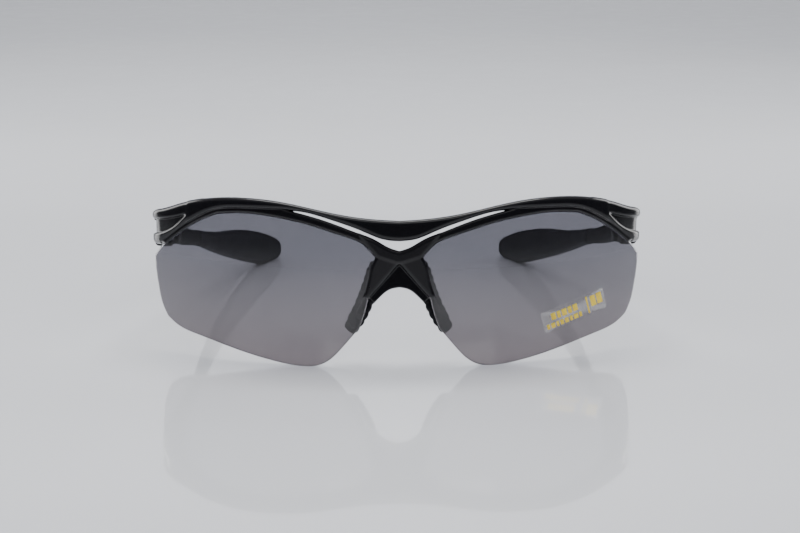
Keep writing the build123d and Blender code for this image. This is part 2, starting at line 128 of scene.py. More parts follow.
# Outlines seen from the front, as x and z.
BROW_TOP = [
    (0, 21.0), (8, 21.5), (18, 22.9), (27, 24.7), (36, 26.2), (45, 26.7),
    (53, 26.3), (60, 25.1), (67, 22.9), (72, 20.9), (78, END_TOP),
]
BROW_LOW = [
    (73.0, END_BOTTOM), (69.6, 13.3), (66.0, 16.3), (61.3, 19.5), (55.1, 22.5), (47, 23.6), (35, 23.9),
]
RAIL_TOP = [(35, 23.9), (47, 24.3), (58, 22.6), (66, 17.3), (73.6, 10.6)]
RAIL_LOW_OUTER = [(71.4, 9.6), (68.5, 12.3), (65, 15.2), (60.5, 18.3), (54.5, 21.2)]
RAIL_LOW_INNER = [
    (54.5, 21.2), (47, 22.0), (38.5, 21.6), (26.5, 19.4), (17, 16.5), (10, 13.4), (7.0, 10.2),
]
LEG_OUTER = [(7.0, 10.2), (8.3, 7.6), (9.0, 4.4), (9.9, 0.8), (11.0, -2.4)]
LEG_INNER_FOOT = (9.3, -2.9)
LEG_INNER_TOP = (0, 7.9)
SLOT_LOW = [(0, 11.7), (3.2, 12.8), (7, 15.0), (12, 17.1), (20, 20.1), (28, 22.4), (35, 23.9)]
SLOT_HIGH = [(35, 23.9), (28, 23.3), (20, 21.2), (12, 18.4), (8.5, 16.9), (5, 15.6), (0, 15.0)]
ARCH = [(0, 0), (2.8, -0.6), (5.2, -2.3), (7.5, -4.6)]
VALLEY_HIGH = [(65.0, 19.7), (71.0, 17.9), (80, 16.9)]
VALLEY_LOW = [(80, 12.9), (73.5, 13.3), (69.0, 15.4), (65.0, 19.7)]
LENS_TOP = [(5.4, 10.9), (9, 14.6), (16, 17.5), (26, 20.5), (38, 22.8), (47, 23.4), (55.5, 22.5)]
LENS_TOP_OUTER = [(55.5, 22.5), (62.5, 19.0), (67, 15.1), (71.6, 10.2)]
LENS_CORNER = [(73.4, 8.0), (75.3, 5.4)]
LENS_SIDE = [(75.3, 5.4), (75.3, 1.5), (74.6, -5.0), (73.6, -10.5), (72.0, -14.3)]
LENS_FOOT = [
    (72.0, -14.3), (69.0, -16.6), (62.0, -18.8), (50.0, -21.9), (38.0, -24.8),
    (32.0, -25.8), (28.0, REST_Z), (25.0, -25.6), (21.5, -23.8), (17.5, -19.6), (12.0, -12.6),
]
LENS_NOSE = [(12.0, -12.6), (10.2, -7.0), (8.8, -1.0), (7.2, 4.0), (5.8, 8.2), (5.4, 10.9)]

# The temple's outlines from the side, as y and z, and its bands as y, centre and thickness.
ARM_TOP = [
    (TEMPLE_FRONT_Y, HINGE_LEVELS[1]), (36, 15.9), (43, 12.3), (52, 7.5), (62, 3.9), (GRIP_START_Y, 2.0),
]
ARM_LOW = [
    (GRIP_START_Y, -3.2), (62, -1.5), (52, 1.2), (43, 4.3), (36, 5.9), (TEMPLE_FRONT_Y, HINGE_LEVELS[0]),
]
ARM_VALLEY_HIGH = [(TEMPLE_FRONT_Y - 1, 14.9), (43, 10.4), (54, 4.9), (VALLEY_END_Y, 1.0)]
ARM_VALLEY_LOW = [(VALLEY_END_Y, 1.0), (54, 3.4), (43, 7.4), (TEMPLE_FRONT_Y - 1, 10.7)]
TIP_TOP = [
    (GRIP_START_Y, 2.2), (78, -0.4), (86, -2.5), (95, -4.7), (104, -6.4), (113, -8.2),
    (125, -11.6), (133, -14.8), (138, -17.4),
]
TIP_END = [(138, -17.4), (140.3, -19.4), (TIP_END_Y, -22.2), (140.3, -24.8), (FOOT_Y[1], REST_Z)]
TIP_LOW = [
    (FOOT_Y[0], REST_Z), (125, -24.2), (119, -21.9), (111, -18.9), (100, -14.7),
    (92, -11.6), (84, -8.4), (76, -5.5), (GRIP_START_Y, -3.4),
]
ARM_PLAN = [
    (TEMPLE_FRONT_Y, END_X - END_T / 2, END_T), (37, 73.7, 4.2), (48, 71.3, 3.4),
    (60, 68.9, 3.2), (GRIP_START_Y, 67.8, 3.2),
]
TIP_PLAN = [
    (GRIP_START_Y, 67.8, 3.6), (78, 66.6, 4.2), (86, 65.1, 4.6), (95, 62.9, 4.8), (104, 60.6, 4.8),
    (113, 57.8, 4.8), (125, 53.2, 4.8), (133, 49.2, 4.8), (TIP_END_Y, 44.6, 4.4),
]


# ---- curves and distances ---------------------------------------------------------------
def curve(points, steps=10):
    """A natural cubic spline through the points, as a list of points."""
    p = np.array(points, float)
    gaps = np.linalg.norm(np.diff(p, axis=0), axis=1)
    t = np.concatenate([[0], np.cumsum(gaps)])
    n = len(p)
    system = np.eye(n)
    right = np.zeros((n, 2))
    for i in range(1, n - 1):
        before, after = gaps[i - 1], gaps[i]
        system[i, i - 1:i + 2] = before, 2 * (before + after), after
        right[i] = 6 * ((p[i + 1] - p[i]) / after - (p[i] - p[i - 1]) / before)
    bend = np.linalg.solve(system, right)
    out = []
    for i in range(n - 1):
        for s in np.linspace(0, 1, steps, endpoint=False):
            a, b, gap = 1 - s, s, gaps[i]
            cubic = ((a ** 3 - a) * bend[i] + (b ** 3 - b) * bend[i + 1]) * gap ** 2 / 6
            out.append(tuple(a * p[i] + b * p[i + 1] + cubic))
    return out + [tuple(p[-1])]


def both_sides(points):
    """Closes a half outline that starts and ends on the plane of symmetry with its mirror image."""
    return points + [(-u, v) for u, v in reversed(points)]


def band(rows, inset=0.0):
    """A band of rows seen from above, as x and y. inset takes its outer face in."""
    outer = [(centre + thick / 2 - inset * fade, y) for y, centre, thick, fade in faded(rows)]
    inner = [(centre - thick / 2, y) for y, centre, thick in reversed(rows)]
    return curve(outer) + curve(inner)


def beyond(near, far, reach):
    """The point, or row, that carries on from far through near, by reach along the first axis."""
    step = reach / (near[0] - far[0])
    return tuple(n + (n - f) * step for n, f in zip(near, far))


def faded(rows):
    """The rows with how much of the valley's depth each station has."""
    reach = VALLEY_END_Y - TEMPLE_FRONT_Y
    return [(*row, max(0.0, 1 - (row[0] - TEMPLE_FRONT_Y) / reach)) for row in rows]


def inside_out(points, u, v):
    """The signed distance from u, v to a closed outline: negative inside."""
    polygon = np.array(points)
    keep = np.linalg.norm(polygon - np.roll(polygon, 1, axis=0), axis=1) > 1e-6
    polygon = polygon[keep]
    u, v = np.broadcast_arrays(u, v)
    nearest = np.full(u.shape, 1e9)
    crossings = np.zeros(u.shape, bool)
    for (u0, v0), (u1, v1) in zip(polygon, np.roll(polygon, -1, axis=0)):
        du, dv = u1 - u0, v1 - v0
        along = np.clip(((u - u0) * du + (v - v0) * dv) / (du * du + dv * dv), 0, 1)
        gap = (u - u0 - along * du) ** 2 + (v - v0 - along * dv) ** 2
        nearest = np.minimum(nearest, gap)
        if v0 != v1:
            crossings ^= ((v0 > v) != (v1 > v)) & (u < (v - v0) * du / dv + u0)
    return np.where(crossings, -1, 1) * np.sqrt(nearest)


def lens_front_y(x, z, proud=0.0):
    """The y of the lens's front surface, or of one that stands proud of it. Far outside the lens it
    stays level at LEAST_REACH from the pod's middle."""
    aside = np.maximum(np.abs(x) - LENS_CENTRE_X, 0)
    reach = (LENS_R + proud) ** 2 - aside ** 2 - (z - LENS_CENTRE_Z) ** 2
    return LENS_R - np.sqrt(np.maximum(reach, LEAST_REACH ** 2))


def on_surface(outline, proud):
    """Where the slant carries an outline on a proud surface to, at y = 0."""
    return [(u, v + SLANT * float(lens_front_y(u, v, proud))) for u, v in outline]


def slanted(outline, x, y, z):
    """The distance to the prism that runs back and down by SLANT through an outline at y = 0."""
    heights = z + SLANT * y
    levels = np.arange(heights.min(), heights.max() + FINE, FINE)
    table = inside_out(outline, x.reshape(-1, 1), levels[None, :])
    place = (heights - levels[0]) / FINE
    low = np.minimum(place.astype(int), len(levels) - 2)
    part = place - low
    return (1 - part) * table[:, low[0]] + part * table[:, low[0] + 1]


def meet(first, *others, r=0.3):
    """What is inside all the fields, with its edges rounded by r."""
    for other in others:
        corner = np.sqrt(np.maximum(r + first, 0) ** 2 + np.maximum(r + other, 0) ** 2)
        first = np.minimum(-r, np.maximum(first, other)) + corner
    return first


def join(first, *others, r=0.3):
    """What is inside any of the fields, with its inner corners filled by r."""
    return -meet(-first, *(-other for other in others), r=r)


def cut(body, *holes, r=0.3):
    """The body less the holes."""
    return meet(body, *(-hole for hole in holes), r=r)


def pod(x, y, z, radius):
    """The distance to the pod that the lenses and frame lie on: a sphere each side, joined."""
    aside = np.maximum(np.abs(x) - LENS_CENTRE_X, 0)
    return np.sqrt(aside ** 2 + (y - LENS_R) ** 2 + (z - LENS_CENTRE_Z) ** 2) - radius


def slab(t, low, high):
    """The distance to the space between two levels."""
    return np.maximum(low - t, t - high)


def rod(x, y, z, levels, radius, r=0.2):
    """The distance to an upright rod on the hinge axis."""
    across = np.hypot(x - HINGE_X, y - HINGE_Y) - radius
    return meet(across, slab(z, *levels), r=r)


def bar(x, y, z, start, end, radius):
    """The distance to a round-ended bar."""
    line = end - start
    along = ((x - start[0]) * line[0] + (y - start[1]) * line[1] + (z - start[2]) * line[2]) / (line @ line)
    along = np.clip(along, 0, 1)
    gaps = (x - start[0] - along * line[0], y - start[1] - along * line[1], z - start[2] - along * line[2])
    return np.sqrt(gaps[0] ** 2 + gaps[1] ** 2 + gaps[2] ** 2) - radius


# ---- fields of the pieces ---------------------------------------------------------------
def lens_outline():
    """A lens in front view, closed."""
    return (
        curve(LENS_TOP) + curve(LENS_TOP_OUTER) + LENS_CORNER[:1]
        + curve(LENS_SIDE) + curve(LENS_FOOT, 16) + curve(LENS_NOSE)
    )


def lens_field(x, y, z, gap=0.0, r=0.4):
    """A lens, grown by gap on every side to cut its groove."""
    rim = inside_out(lens_outline(), x, z) - gap
    return meet(rim, pod(x, y, z, LENS_R + gap), -pod(x, y, z, LENS_R - LENS_T - gap), r=r)


def end_plan(inset):
    """The end piece from above, as x and y: the brow's curve turned back to the hinge."""
    turn_x, turn_y = END_TURN
    start_y = float(lens_front_y(turn_x, END_BOTTOM, BROW_PROUD))
    outer_x, inner_x = END_X - inset, END_X - END_T
    outer = [
        (turn_x, start_y + inset), (turn_x + 8, start_y + inset + 4.9),
        (outer_x - 3.6, start_y + inset + 9.8), (outer_x - 0.7, turn_y - 3.4),
        (outer_x - 0.1, turn_y), (outer_x - 0.02, turn_y + 2.5),
    ]
    inner = [
        (inner_x, turn_y + 2.5), (inner_x, turn_y), (inner_x - 1.2, turn_y - 3.4),
        (inner_x - 5.4, start_y + END_ROOT_T + 5.2), (turn_x, start_y + END_ROOT_T),
    ]
    return curve(outer) + [(outer_x, BUTT_Y + PAST), (inner_x, BUTT_Y + PAST)] + curve(inner)


def knuckle(x, y, z, levels, way):
    """One hinge knuckle with its root running forwards, way -1, or back, way 1."""
    low_y, high_y = sorted((HINGE_Y, HINGE_Y + way * KNUCKLE_ROOT))
    root = meet(slab(x, HINGE_X + 2 - KNUCKLE_R, HINGE_X + KNUCKLE_R), slab(y, low_y, high_y), r=0.2)
    around = np.hypot(x - HINGE_X, y - HINGE_Y) - KNUCKLE_R
    return meet(join(root, around, r=0.8), slab(z, *levels), r=0.25)


def leg_outline():
    """Half the crossed bridge in front view: its middle, and the leg beside the nose."""
    return (
        curve(SLOT_LOW[:4]) + [RAIL_LOW_INNER[-2]] + curve(LEG_OUTER) + [LEG_INNER_FOOT, LEG_INNER_TOP]
    )


def leg_field(x, y, z, gap=0.0):
    """The crossed bridge's middle and legs, longer behind by gap."""
    outline = [(u, v + SLANT * BRIDGE_Y[0]) for u, v in both_sides(leg_outline())]
    return meet(slanted(outline, x, y, z), slab(y, BRIDGE_Y[0], BRIDGE_Y[1] + gap), r=1.1)


def web_field(x, y, z, gap=0.0):
    """The web that leans back from its foot, between the legs."""
    head = (0, LEG_OUTER[1][1] + WEB_LAP)
    outline = both_sides(curve(ARCH) + [LEG_INNER_FOOT, LEG_OUTER[-2], LEG_OUTER[1], head])
    front_y = WEB_FOOT[0] + WEB_LEAN * (z - WEB_FOOT[1])
    return meet(inside_out(outline, x, z), slab(y, front_y, front_y + WEB_T + gap), r=0.5)


def end_field(x, y, z, brow_2d):
    """The end piece, with its valley."""
    front = pod(x, y, z, LENS_R + BROW_PROUD)
    end = meet(inside_out(end_plan(0), x, y), front, r=0.8)
    end = meet(meet(end, brow_2d, r=1.6), END_TURN[0] - x, r=0.3)
    valley_2d = slanted(on_surface(curve(VALLEY_HIGH) + curve(VALLEY_LOW), BROW_PROUD), x, y, z)
    floor = pod(x, y, z, LENS_R + BROW_PROUD - VALLEY_DEPTH)
    floor = meet(inside_out(end_plan(VALLEY_DEPTH), x, y), floor, r=0.8)
    end = cut(end, cut(valley_2d, floor, r=0.1), r=0.9)
    return meet(end, y - BUTT_Y, r=0.3)


def front_field(x, y, z):
    """The whole frame's left half, with its lens groove, pad core and hinge knuckles."""
    top, low = on_surface(curve(BROW_TOP), BROW_PROUD), on_surface(curve(BROW_LOW), BROW_PROUD)
    slot = on_surface(curve(SLOT_HIGH), BROW_PROUD)
    brow_2d = slanted(both_sides(top + [(top[-1][0], low[0][1])] + low + slot), x, y, z)
    rail_2d = slanted(both_sides(on_surface(
        curve(SLOT_LOW) + curve(RAIL_TOP) + curve(RAIL_LOW_OUTER) + curve(RAIL_LOW_INNER) + [LEG_INNER_TOP],
        RAIL_PROUD,
    )), x, y, z)
    back = -pod(x, y, z, LENS_R - FRAME_BACK)
    brow = meet(pod(x, y, z, LENS_R + BROW_PROUD), back, slab(x, -80, BROW_END_X), r=0.9)
    brow = meet(brow, brow_2d, r=1.3)
    rail = meet(rail_2d, pod(x, y, z, LENS_R + RAIL_PROUD), back, r=0.7)
    bridge = join(leg_field(x, y, z), web_field(x, y, z), r=0.4)
    body = join(join(brow, end_field(x, y, z, brow_2d), r=0.5), join(rail, bridge, r=0.6), r=0.15)
    body = cut(body, lens_field(x, y, z, GROOVE_GAP, r=0.1), r=0.12)
    body = join(body, bar(x, y, z, *PAD_CORE), r=0.3)
    body = cut(body, rod(x, y, z, (LOW_KNUCKLE[1], HIGH_KNUCKLE[0]), RELIEF_R, r=0.02), r=0.15)
    body = join(body, knuckle(x, y, z, LOW_KNUCKLE, -1), knuckle(x, y, z, HIGH_KNUCKLE, -1), r=0.3)
    holes = [
        rod(x, y, z, (0, ABOVE_HINGE_Z), SCREW_R + CLOSE_FIT, r=0.01),
        rod(x, y, z, (HIGH_KNUCKLE[1] - HEAD_T, ABOVE_HINGE_Z), HEAD_R + 3 * CLOSE_FIT, r=0.01),
        rod(x, y, z, (0, LOW_KNUCKLE[0] + INSERT_LENGTH), INSERT_R + CLOSE_FIT, r=0.01),
    ]
    return cut(body, *holes, r=0.08)


def arm_field(x, y, z):
    """The hard arm, cut square at both ends, with its valley and its hinge knuckle."""
    ends = (
        [beyond(ARM_TOP[-1], ARM_TOP[-2], PAST), beyond(ARM_LOW[0], ARM_LOW[1], PAST)],
        [(TEMPLE_FRONT_Y - PAST, HINGE_LEVELS[0]), (TEMPLE_FRONT_Y - PAST, HINGE_LEVELS[1])],
    )
    side = inside_out(curve(ARM_TOP) + ends[0] + curve(ARM_LOW) + ends[1], y, z)
    rows = [(TEMPLE_FRONT_Y - PAST, *ARM_PLAN[0][1:]), *ARM_PLAN, beyond(ARM_PLAN[-1], ARM_PLAN[-2], PAST)]
    plan = inside_out(band(rows), x, y)
    arm = meet(meet(side, plan, r=1.2), slab(y, TEMPLE_FRONT_Y, GRIP_START_Y - CLOSE_FIT), r=0.3)
    valley_2d = inside_out(curve(ARM_VALLEY_HIGH) + curve(ARM_VALLEY_LOW), y, z)
    floor = inside_out(band(rows, VALLEY_DEPTH), x, y)
    outside = meet(valley_2d, HINGE_X - 3 - x, r=0.1)
    arm = cut(arm, cut(outside, floor, r=0.1), r=0.4)
    foot_z, head_z = HINGE_LEVELS
    for levels in ((foot_z - PAST / 2, MIDDLE_KNUCKLE[0]), (MIDDLE_KNUCKLE[1], head_z + PAST / 2)):
        arm = cut(arm, rod(x, y, z, levels, RELIEF_R, r=0.02), r=0.15)
    arm = join(arm, knuckle(x, y, z, MIDDLE_KNUCKLE, 1), r=0.3)
    return cut(arm, rod(x, y, z, (0, ABOVE_HINGE_Z), SCREW_R + SCREW_RUNNING, r=0.01), r=0.08)


def tip_field(x, y, z):
    """The soft tip, cut square where it meets the arm."""
    start = [beyond(TIP_LOW[-1], TIP_LOW[-2], -PAST), beyond(TIP_TOP[0], TIP_TOP[1], -PAST)]
    side = inside_out(curve(TIP_TOP) + curve(TIP_END) + curve(TIP_LOW) + start, y, z)
    plan = inside_out(band([beyond(TIP_PLAN[0], TIP_PLAN[1], -PAST)] + TIP_PLAN), x, y)
    return meet(meet(side, plan, r=1.5), slab(y, GRIP_START_Y, TIP_END_Y + PAST), r=0.2)


def pad_axes(x, y, z):
    """How far along the pad a point is, from 0 to 1, its offsets across the blade and through it,
    and the pad's length."""
    line = PAD_FOOT - PAD_TOP
    length = np.linalg.norm(line)
    down = line / length
    splay = math.radians(PAD_SPLAY)
    across = np.array([math.sin(splay), math.cos(splay), 0])
    across -= (across @ down) * down
    across /= np.linalg.norm(across)
    face = np.cross(down, across)
    away = [x - PAD_TOP[0], y - PAD_TOP[1], z - PAD_TOP[2]]
    u, v, w = (sum(a * d for a, d in zip(away, way)) for way in (down, across, face))
    return u / length, v, w, length


def pad_field(x, y, z):
    """The ribbed pad: a blade bowed inwards, behind the lens and clear of the bridge."""
    along = pad_axes(x, y, z)[0]
    along, across, face, length = pad_axes(x + np.interp(along, PAD_BOW[0], PAD_BOW[1]), y, z)
    half_width = np.interp(along, PAD_STATIONS, PAD_HALF_WIDTHS)
    half_thick = np.interp(along, PAD_STATIONS, PAD_HALF_THICKS)
    wave = 0.5 + 0.5 * np.cos(2 * math.pi * RIBS * np.clip(along, 0, 1))
    rib = RIB_HEIGHT * (1 - wave ** 2)
    half_width = half_width - RIB_HEIGHT / 2 + rib / 2
    half_thick = half_thick - RIB_HEIGHT / 2 + rib / 2
    blade = (np.sqrt((across / half_width) ** 2 + (face / half_thick) ** 2) - 1) * half_thick
    pad = meet(blade, slab(along * length, 0, length), r=1.0)
    behind_lens = pod(x, y, z, LENS_R - LENS_T - GROOVE_GAP)
    pad = meet(pad, behind_lens, r=0.3)
    bridge = np.minimum(leg_field(x, y, z, 0.05), web_field(x, y, z, 0.05)) - 0.03
    return cut(pad, bridge, bar(x, y, z, *PAD_CORE), r=0.1)


def screw_field(x, y, z):
    """The hinge screw, with its drive slot."""
    shaft = rod(x, y, z, (LOW_KNUCKLE[0] + SCREW_FOOT_GAP, HIGH_KNUCKLE[1] - 0.3), SCREW_R, r=0.1)
    head = rod(x, y, z, (HIGH_KNUCKLE[1] - HEAD_T + CLOSE_FIT, HIGH_KNUCKLE[1]), HEAD_R, r=0.12)
    drive = np.maximum(slab(y - HINGE_Y, -DRIVE_W / 2, DRIVE_W / 2), HIGH_KNUCKLE[1] - DRIVE_DEPTH - z)
    return cut(join(shaft, head, r=0.05), drive, r=0.04)


def insert_field(x, y, z):
    """The threaded insert, with a plain bore."""
    tube = rod(x, y, z, (LOW_KNUCKLE[0], LOW_KNUCKLE[0] + INSERT_LENGTH), INSERT_R, r=0.08)
    return cut(tube, rod(x, y, z, (0, ABOVE_HINGE_Z), SCREW_R + CLOSE_FIT, r=0.01), r=0.08)


# ---- meshing ----------------------------------------------------------------------------
def sampled(field, points):
    """The field between its grid points, at fractional grid coordinates."""
    points = np.clip(points, 0, np.array(field.shape) - 1.001)
    low = points.astype(int)
    part = points - low
    total = np.zeros(len(points))
    for corner in np.ndindex(2, 2, 2):
        weight = np.prod(np.where(corner, part, 1 - part), axis=1)
        total += weight * field[tuple((low + corner).T)]
    return total


def slope(field, points):
    """The field's direction of increase at fractional grid coordinates, and its steepness there."""
    rise = np.stack([sampled(field, points + step) - sampled(field, points - step)
                     for step in np.eye(3) * 0.75], axis=1) / 1.5
    steep = np.linalg.norm(rise, axis=1, keepdims=True) + 1e-9
    return rise / steep, steep


def surface_net(field):
    """Vertices, quads and normals of the surface where a sampled field is zero, in grid units."""
    inside = field < 0
    shape = np.array(field.shape) - 1
    count = np.zeros(shape, np.int8)
    for corner in np.ndindex(2, 2, 2):
        count += inside[tuple(slice(c, c + n) for c, n in zip(corner, shape))]
    cells = np.argwhere((count > 0) & (count < 8))
    number = np.full(shape, -1, np.int32)
    number[tuple(cells.T)] = np.arange(len(cells))
    total, hits = np.zeros((len(cells), 3)), np.zeros(len(cells))
    quads = []
    for axis in range(3):
        one, other = (axis + 1) % 3, (axis + 2) % 3
        unit = np.eye(3, dtype=int)
        for a, b in np.ndindex(2, 2):
            start = cells + a * unit[one] + b * unit[other]
            f0, f1 = field[tuple(start.T)], field[tuple((start + unit[axis]).T)]
            crosses = (f0 < 0) != (f1 < 0)
            part = f0[crosses] / (f0[crosses] - f1[crosses])
            total[crosses] += start[crosses] + part[:, None] * unit[axis]
            hits[crosses] += 1
        low = tuple(slice(0, -1) if n == axis else slice(1, -1) for n in range(3))
        high = tuple(slice(1, None) if n == axis else slice(1, -1) for n in range(3))
        for into, order in ((True, (0, 1, 2, 3)), (False, (3, 2, 1, 0))):
            edges = np.argwhere((inside[low] == into) & (inside[high] != into))
            edges += 1 - unit[axis]
            ring = [edges - unit[one] - unit[other], edges - unit[other], edges, edges - unit[one]]
            quads.append(np.stack([number[tuple(ring[n].T)] for n in order], axis=1))
    points = total / hits[:, None]
    for _ in range(2):
        normals, steep = slope(field, points)
        step = sampled(field, points)[:, None] / steep
        points -= normals * np.clip(step, -0.4, 0.4)
    normals, _ = slope(field, points)
    return points, np.concatenate(quads), normals


def meshed(field_of, low, high, cell):
    """Vertices, quads and normals of a field between two corners, in millimetres."""
    axes = [np.arange(a, b + cell, cell) for a, b in zip(low, high)]
    x, y, z = axes[0][:, None, None], axes[1][None, :, None], axes[2][None, None, :]
    field = np.broadcast_to(field_of(x, y, z), [len(a) for a in axes]).astype(np.float32)
    points, quads, normals = surface_net(field)
    return points * cell + np.array([a[0] for a in axes]), quads, normals


def flipped(points, quads, normals):
    """The mirror image of a mesh, across the plane of symmetry."""
    turn = np.array([-1, 1, 1])
    return points * turn, quads[:, ::-1], normals * turn


def whole(points, quads, normals, cell):
    """A half mesh that starts two cells before the plane of symmetry, with its mirror image."""
    middle = points[quads].mean(axis=1)[:, 0]
    right = quads[middle > -0.25 * cell]
    other_points, other_quads, other_normals = flipped(points, quads[middle > 0.25 * cell], normals)
    points = np.concatenate([points, other_points])
    normals = np.concatenate([normals, other_normals])
    quads = np.concatenate([right, other_quads + len(points) // 2])
    rounded = np.round(points / (0.05 * cell))
    _, first, same = np.unique(rounded, axis=0, return_index=True, return_inverse=True)
    quads = same.reshape(-1)[quads]
    used, quads = np.unique(quads, return_inverse=True)
    return points[first][used], quads.reshape(-1, 4), normals[first][used]


def made(name, points, faces, normals=None):
    """A Blender object from a mesh in millimetres."""
    data = bpy.data.meshes.new(name)
    face_list = faces if isinstance(faces, list) else faces.tolist()
    data.from_pydata((np.asarray(points) * MM).tolist(), [], face_list)
    data.validate()
    data.shade_smooth()
    if normals is not None:
        data.normals_split_custom_set_from_vertices(np.asarray(normals).tolist())
    piece = bpy.data.objects.new(name, data)
    bpy.context.scene.collection.objects.link(piece)
    return piece


def finish_piece(piece, body, look, cad_node):
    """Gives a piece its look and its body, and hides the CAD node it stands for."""
    piece.data.materials.append(look)
    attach(piece, body)
    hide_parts(cad_node)


# ---- materials --------------------------------------------------------------------------
def material(name):
    """A new node material, with its node tree and its Principled shader."""
    new = bpy.data.materials.new(name)
    new.use_nodes = True
    tree = new.node_tree
    return new, tree, tree.nodes["Principled BSDF"]


def node(tree, kind, **values):
    """A new node with its inputs or properties set by name."""
    new = tree.nodes.new(kind)
    for key, value in values.items():
        if key in new.inputs:
            new.inputs[key].default_value = value
        else:
            setattr(new, key, value)
    return new


def noise(tree, scale, detail=3.0, stretch=(1, 1, 1)):
    """Noise in the object's own coordinates, stretched along an axis where asked."""
    place = node(tree, "ShaderNodeTexCoord")
    mapping = node(tree, "ShaderNodeMapping")
    mapping.inputs["Scale"].default_value = stretch
    texture = node(tree, "ShaderNodeTexNoise", Scale=scale, Detail=detail)
    tree.links.new(place.outputs["Object"], mapping.inputs["Vector"])
    tree.links.new(mapping.outputs["Vector"], texture.inputs["Vector"])
    return texture.outputs["Fac"]


def spread(tree, source, low, high, from_low=0.3, from_high=0.7):
    """The source mapped to a range of values."""
    new = node(tree, "ShaderNodeMapRange")
    for key, value in (("From Min", from_low), ("From Max", from_high), ("To Min", low), ("To Max", high)):
        new.inputs[key].default_value = value
    tree.links.new(source, new.inputs["Value"])
    return new.outputs["Result"]


def mixed(tree, factor, first, second):
    """A colour between two colours by a factor."""
    new = node(tree, "ShaderNodeMix", data_type="RGBA")
    new.inputs["A"].default_value = (*first, 1)
    new.inputs["B"].default_value = (*second, 1)
    tree.links.new(factor, new.inputs["Factor"])
    return new.outputs["Result"]


def bumped(tree, shader, height, strength, distance):
    """Bumps the shader's surface by a height."""
    new = node(tree, "ShaderNodeBump", Strength=strength, Distance=distance)
    tree.links.new(height, new.inputs["Height"])
    tree.links.new(new.outputs["Normal"], shader.inputs["Normal"])


def nylon(name, gloss):
    """Black moulded nylon with faint flow marks, fine scuffs and paler handled edges."""
    new, tree, shader = material(name)
    edges = node(tree, "ShaderNodeNewGeometry").outputs["Pointiness"]
    worn = spread(tree, edges, 0.0, 1.0, 0.53, 0.62)
    colour = mixed(tree, worn, (0.0035, 0.0035, 0.005), (0.009, 0.009, 0.012))
    tree.links.new(colour, shader.inputs["Base Color"])
    rough = 0.5 - 0.3 * gloss
    scuffs = noise(tree, 500, 3, (1, 0.15, 1))
    tree.links.new(spread(tree, scuffs, rough - 0.03, rough + 0.03), shader.inputs["Roughness"])
    bumped(tree, shader, noise(tree, 180, 1), 0.02, 0.0002)
    shader.inputs["Specular IOR Level"].default_value = 0.14 + 0.12 * gloss
    shader.inputs["Coat Weight"].default_value = 0.08 * gloss
    shader.inputs["Coat Roughness"].default_value = 0.2
    return new


def rubber(name, dark, pale, grain, rough):
    """Satin moulded rubber with a fine grain and a dusty bloom that gathers unevenly."""
    new, tree, shader = material(name)
    bloom = spread(tree, noise(tree, 110, 4), 0.0, 1.0)
    tree.links.new(mixed(tree, bloom, dark, pale), shader.inputs["Base Color"])
    uneven = spread(tree, noise(tree, 300, 3), rough - 0.07, rough + 0.07)
    tree.links.new(uneven, shader.inputs["Roughness"])
    bumped(tree, shader, noise(tree, grain, 2), 0.22, 0.00012)
    shader.inputs["Specular IOR Level"].default_value = 0.14
    return new


def metal(name, colour, ring_scale):
    """Turned metal, with fine rings about the hinge axis in its roughness."""
    new, tree, shader = material(name)
    shader.inputs["Metallic"].default_value = 1.0
    tone = spread(tree, noise(tree, 700, 2), 0.0, 1.0)
    tree.links.new(mixed(tree, tone, [c * 0.82 for c in colour], colour), shader.inputs["Base Color"])
    rings = spread(tree, noise(tree, ring_scale, 2, (1, 1, 8)), 0.2, 0.38)
    tree.links.new(rings, shader.inputs["Roughness"])
    bumped(tree, shader, noise(tree, ring_scale, 1, (1, 1, 8)), 0.08, 0.00005)
    return new


def see_through_shadow(tree, surface, tint):
    """Lets light through in the shadows of a clear piece, tinted."""
    path = node(tree, "ShaderNodeLightPath")
    clear = node(tree, "ShaderNodeBsdfTransparent")
    clear.inputs["Color"].default_value = (*tint, 1)
    mix = node(tree, "ShaderNodeMixShader")
    output = tree.nodes["Material Output"]
    tree.links.new(path.outputs["Is Shadow Ray"], mix.inputs["Fac"])
    tree.links.new(surface, mix.inputs[1])
    tree.links.new(clear.outputs["BSDF"], mix.inputs[2])
    tree.links.new(mix.outputs["Shader"], output.inputs["Surface"])


def polycarbonate():
    """Smoke-tinted polycarbonate with a painted reflection in its tint, bluer at the top and warmer towards
    the foot, and with dark edges and fine wipe marks.
    """
    new, tree, shader = material("lens_clear")
    shader.inputs["Transmission Weight"].default_value = 1.0
    shader.inputs["IOR"].default_value = 1.586
    shader.inputs["Specular IOR Level"].default_value = 0.12
    place = node(tree, "ShaderNodeTexCoord")
    height, facing = node(tree, "ShaderNodeSeparateXYZ"), node(tree, "ShaderNodeSeparateXYZ")
    tree.links.new(place.outputs["Object"], height.inputs[0])
    tree.links.new(place.outputs["Normal"], facing.inputs[0])
    # Painted reflection: the tint turns bluer towards the top of the lens and warmer towards its foot,
    # standing in for the surroundings seen in it.
    painted_reflection_blend = spread(tree, height.outputs["Z"], 0.0, 1.0, -0.024, 0.010)
    tint = mixed(tree, painted_reflection_blend, (0.18, 0.155, 0.165), (0.165, 0.165, 0.19))
    ahead = node(tree, "ShaderNodeMath", operation="ABSOLUTE")
    tree.links.new(facing.outputs["Y"], ahead.inputs[0])
    edge = node(tree, "ShaderNodeMix", data_type="RGBA")
    tree.links.new(spread(tree, ahead.outputs[0], 1.0, 0.0, 0.3, 0.6), edge.inputs["Factor"])
    tree.links.new(tint, edge.inputs["A"])
    edge.inputs["B"].default_value = (0.05, 0.052, 0.06, 1)
    tree.links.new(edge.outputs["Result"], shader.inputs["Base Color"])
    wipes = noise(tree, 1400, 3, (0.05, 0.3, 1))
    tree.links.new(spread(tree, wipes, 0.0, 0.035, 0.55, 0.8), shader.inputs["Roughness"])
    see_through_shadow(tree, shader.outputs["BSDF"], (0.68, 0.69, 0.71))
    return new


